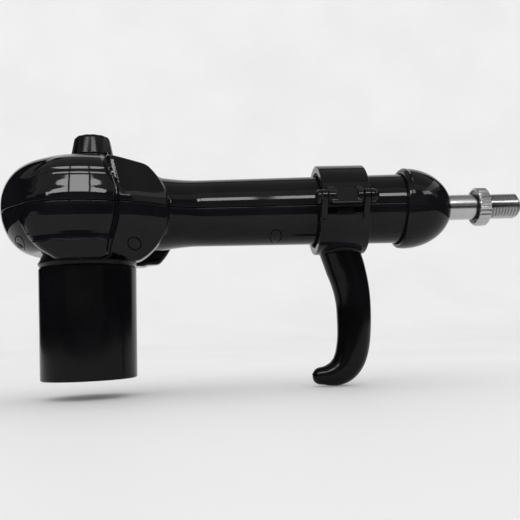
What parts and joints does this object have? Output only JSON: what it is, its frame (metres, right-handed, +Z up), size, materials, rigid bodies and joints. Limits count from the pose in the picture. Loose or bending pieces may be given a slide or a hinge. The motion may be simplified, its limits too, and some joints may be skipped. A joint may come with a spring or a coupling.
{
  "type": "hand-held reciprocating rod tool",
  "caption": "Hand-held motor tool with a round head, upright handle, long barrel and clamp-on hooked grip, driving a steel rod with a threaded end back and forth.",
  "frame": {"origin": "middle of the flat lower end of the upright handle", "axes": "+X along the barrel and rod towards the threaded end, +Z up the handle towards the speed knob, -Y towards the clamp's hinge"},
  "size_m": [0.3202, 0.105, 0.1571],
  "materials": {
    "gloss_black": "moulded, high gloss",
    "satin_black": "moulded, semi gloss",
    "rubber": "matt",
    "steel": "turned and polished",
    "dark_steel": "blackened",
    "bearing_polymer": "natural bearing polymer",
    "brass": "turned",
    "circuit_board": "solder mask"
  },
  "bodies": {
    "housing": {"upper_housing": "gloss_black", "lower_housing": "gloss_black", "nose_cone": "gloss_black", "handle_tube": "satin_black", "handle_end_cap": "satin_black", "power_inlet": "rubber", "wiper_seal": "rubber", "knob_bezel": "rubber", "motor": "dark_steel", "gearbox": "steel", "motor_plate": "dark_steel", "shaft_bearing": "steel", "rear_bush": "bearing_polymer", "front_bush": "bearing_polymer", "potentiometer": "dark_steel", "control_board": "circuit_board", "barrel_screw_near": "dark_steel", "barrel_plug_near": "gloss_black", "barrel_screw_far": "dark_steel", "barrel_plug_far": "gloss_black", "head_front_screw_near": "dark_steel", "head_front_plug_near": "gloss_black", "head_front_screw_far": "dark_steel", "head_front_plug_far": "gloss_black", "head_rear_screw_near": "dark_steel", "head_rear_plug_near": "gloss_black", "head_rear_screw_far": "dark_steel", "head_rear_plug_far": "gloss_black"},
    "crank": {"output_shaft": "steel", "crank_disc": "dark_steel", "crank_pin": "steel", "crank_roller": "brass"},
    "plunger": {"yoke": "dark_steel", "yoke_pin": "steel", "rod": "steel"},
    "lock_nut": {"lock_nut": "steel"},
    "clamp_slide": {"clamp_liner": "rubber"},
    "clamp": {"clamp_lower": "gloss_black", "hinge_pin": "steel", "hinge_nut_rear": "gloss_black", "hinge_nut_front": "gloss_black", "grip": "satin_black", "grip_bolt": "steel"},
    "clamp_cap": {"clamp_cap": "gloss_black"},
    "latch_screw": {"latch_screw": "satin_black"},
    "speed_knob": {"speed_knob": "satin_black", "knob_shaft": "steel"}
  },
  "joints": [
    {"name": "rod_slide", "type": "slide", "parent": "housing", "child": "plunger", "axis": [1, 0, 0], "range_m": [0, 0.04]},
    {"name": "crank_turn", "type": "hinge", "parent": "housing", "child": "crank", "pos_m": [0, 0, 0.0835], "axis": [0, 0, 1], "range_deg": [0, 180]},
    {"name": "nut_turn", "type": "hinge", "parent": "plunger", "child": "lock_nut", "pos_m": [0.246, 0, 0.0977], "axis": [1, 0, 0], "continuous": true},
    {"name": "clamp_travel", "type": "slide", "parent": "housing", "child": "clamp_slide", "axis": [1, 0, 0], "range_m": [-0.06, 0.018]},
    {"name": "clamp_swivel", "type": "hinge", "parent": "clamp_slide", "child": "clamp", "pos_m": [0.155, 0, 0.0977], "axis": [1, 0, 0], "range_deg": [-180, 180]},
    {"name": "cap_open", "type": "hinge", "parent": "clamp", "child": "clamp_cap", "pos_m": [0.155, -0.0312, 0.1003], "axis": [1, 0, 0], "range_deg": [0, 100]},
    {"name": "latch_turn", "type": "hinge", "parent": "clamp_cap", "child": "latch_screw", "pos_m": [0.155, 0.0356, 0.1], "axis": [0, 0, 1], "continuous": true},
    {"name": "knob_turn", "type": "hinge", "parent": "housing", "child": "speed_knob", "pos_m": [0.0036, 0, 0.134], "axis": [0, 0, -1], "range_deg": [0, 270]}
  ],
  "couplings": [
    {"joint": "crank_turn", "follows": "rod_slide", "rad_per_m": 78.54}
  ]
}
